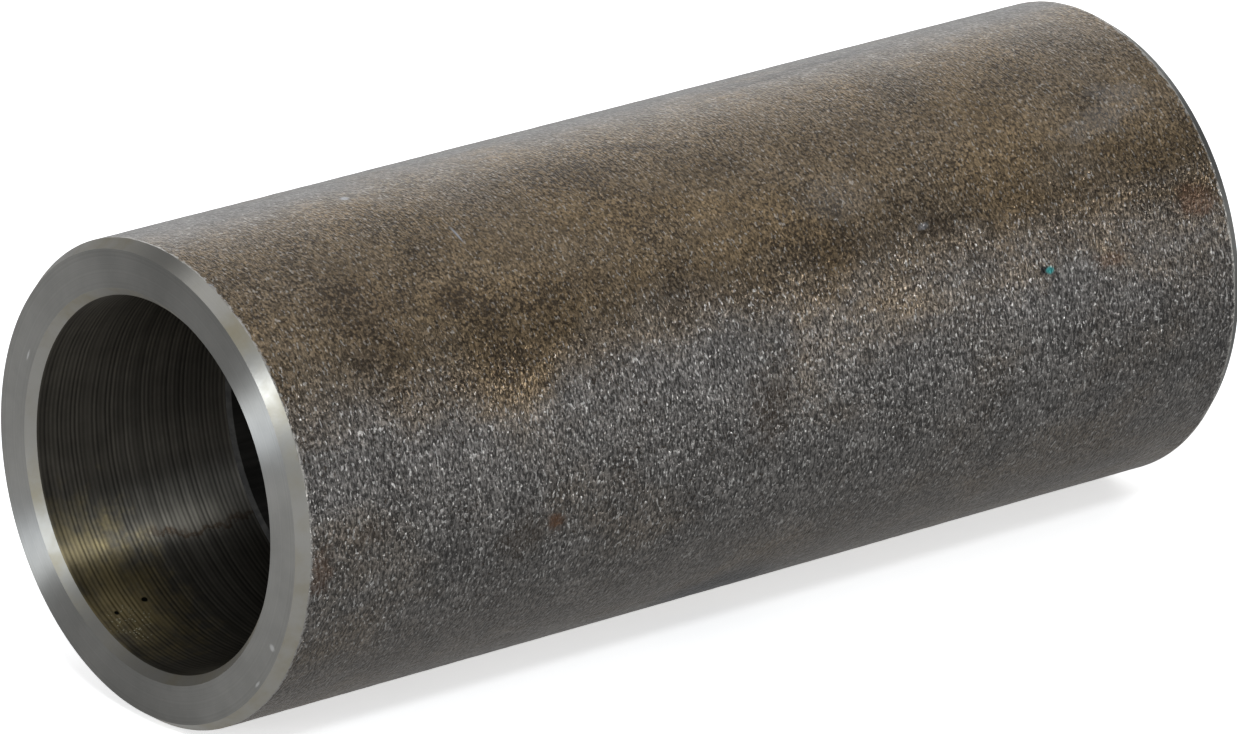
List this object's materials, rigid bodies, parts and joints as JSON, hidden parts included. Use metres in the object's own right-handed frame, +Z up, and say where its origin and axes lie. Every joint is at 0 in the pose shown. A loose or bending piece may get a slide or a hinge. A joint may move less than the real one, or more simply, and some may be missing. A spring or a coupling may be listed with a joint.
{
  "type": "rigid sleeve coupling",
  "caption": "Thick-walled steel sleeve with raw rolled skin, chamfered ends and a turned socket in each end, for joining two shafts or rods in line.",
  "frame": {"origin": "on the sleeve's axis, at mid-length", "axes": "+X along the bore axis towards one open end, +Z up as the sleeve lies on its side"},
  "size_m": [0.14, 0.057, 0.057],
  "materials": {
    "sleeve_steel": "raw rolled skin with a thin rust film outside, bright turned end faces, chamfers and sockets"
  },
  "bodies": {
    "root": {"coupling_sleeve": "sleeve_steel"}
  },
  "joints": []
}
